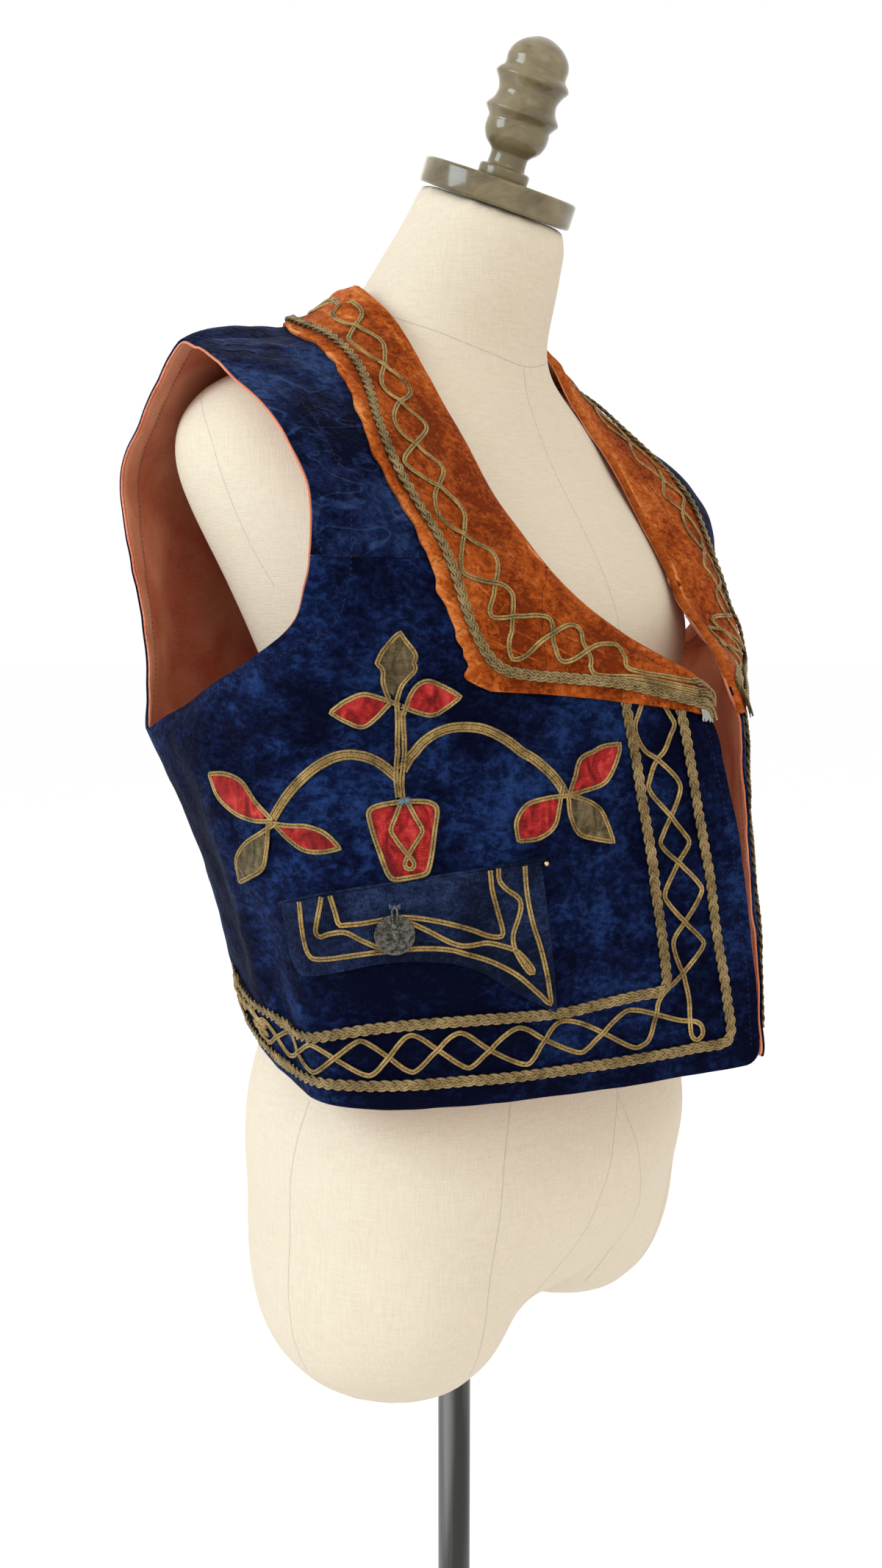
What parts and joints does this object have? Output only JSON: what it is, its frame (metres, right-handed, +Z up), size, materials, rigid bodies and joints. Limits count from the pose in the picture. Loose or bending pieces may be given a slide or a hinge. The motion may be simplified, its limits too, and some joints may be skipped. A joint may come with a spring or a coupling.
{
  "type": "embroidered folk vest on dress form",
  "caption": "Blue velvet folk vest with a rust velvet shawl collar, gold braid borders and flower appliques, resting on a limbless linen dress form with a pole stand.",
  "frame": {"origin": "middle of the base's underside, on the pole's axis", "axes": "+Z up along the pole; the wearer faces -Y, so the wearer's right side is at -X"},
  "size_m": [0.4638, 0.428, 1.5956],
  "materials": {
    "velvet": "crushed velvet",
    "collar_velvet": "short pile velvet",
    "lining": "plain weave cotton",
    "braid": "plaited cord, dull gold",
    "red_satin": "satin",
    "olive_satin": "satin",
    "linen": "plain weave linen",
    "wood": "polished lacquer",
    "steel": "dark gunmetal",
    "silver": "old tarnished silver"
  },
  "bodies": {
    "root": {"back": "velvet", "lining_back": "lining", "border_outer": "braid", "border_inner": "braid", "border_lattice": "braid", "base": "steel", "hub": "steel", "pole": "steel", "form_body": "linen", "neck_cap": "wood", "finial": "wood", "front_right": "velvet", "front_left": "velvet", "yoke_right": "velvet", "yoke_left": "velvet", "flap_right": "velvet", "flap_left": "velvet", "lining_right": "lining", "lining_left": "lining", "collar_right": "collar_velvet", "collar_left": "collar_velvet", "collar_tip_right": "collar_velvet", "collar_tip_left": "collar_velvet", "collar_braid_right": "braid", "collar_braid_left": "braid", "collar_lattice_right": "braid", "collar_lattice_left": "braid", "stem_right": "braid", "stem_left": "braid", "arch_front_right": "braid", "arch_front_left": "braid", "arch_side_right": "braid", "arch_side_left": "braid", "leaf_top_right": "olive_satin", "leaf_top_left": "olive_satin", "leaf_upper_front_right": "red_satin", "leaf_upper_front_left": "red_satin", "leaf_upper_side_right": "red_satin", "leaf_upper_side_left": "red_satin", "leaf_front_high_right": "red_satin", "leaf_front_high_left": "red_satin", "leaf_front_low_right": "red_satin", "leaf_front_low_left": "red_satin", "leaf_front_tip_right": "olive_satin", "leaf_front_tip_left": "olive_satin", "leaf_side_high_right": "red_satin", "leaf_side_high_left": "red_satin", "leaf_side_low_right": "red_satin", "leaf_side_low_left": "red_satin", "leaf_side_tip_right": "olive_satin", "leaf_side_tip_left": "olive_satin", "pot_right": "red_satin", "pot_left": "red_satin", "coin_button_right": "silver", "coin_button_left": "silver"}
  },
  "joints": []
}
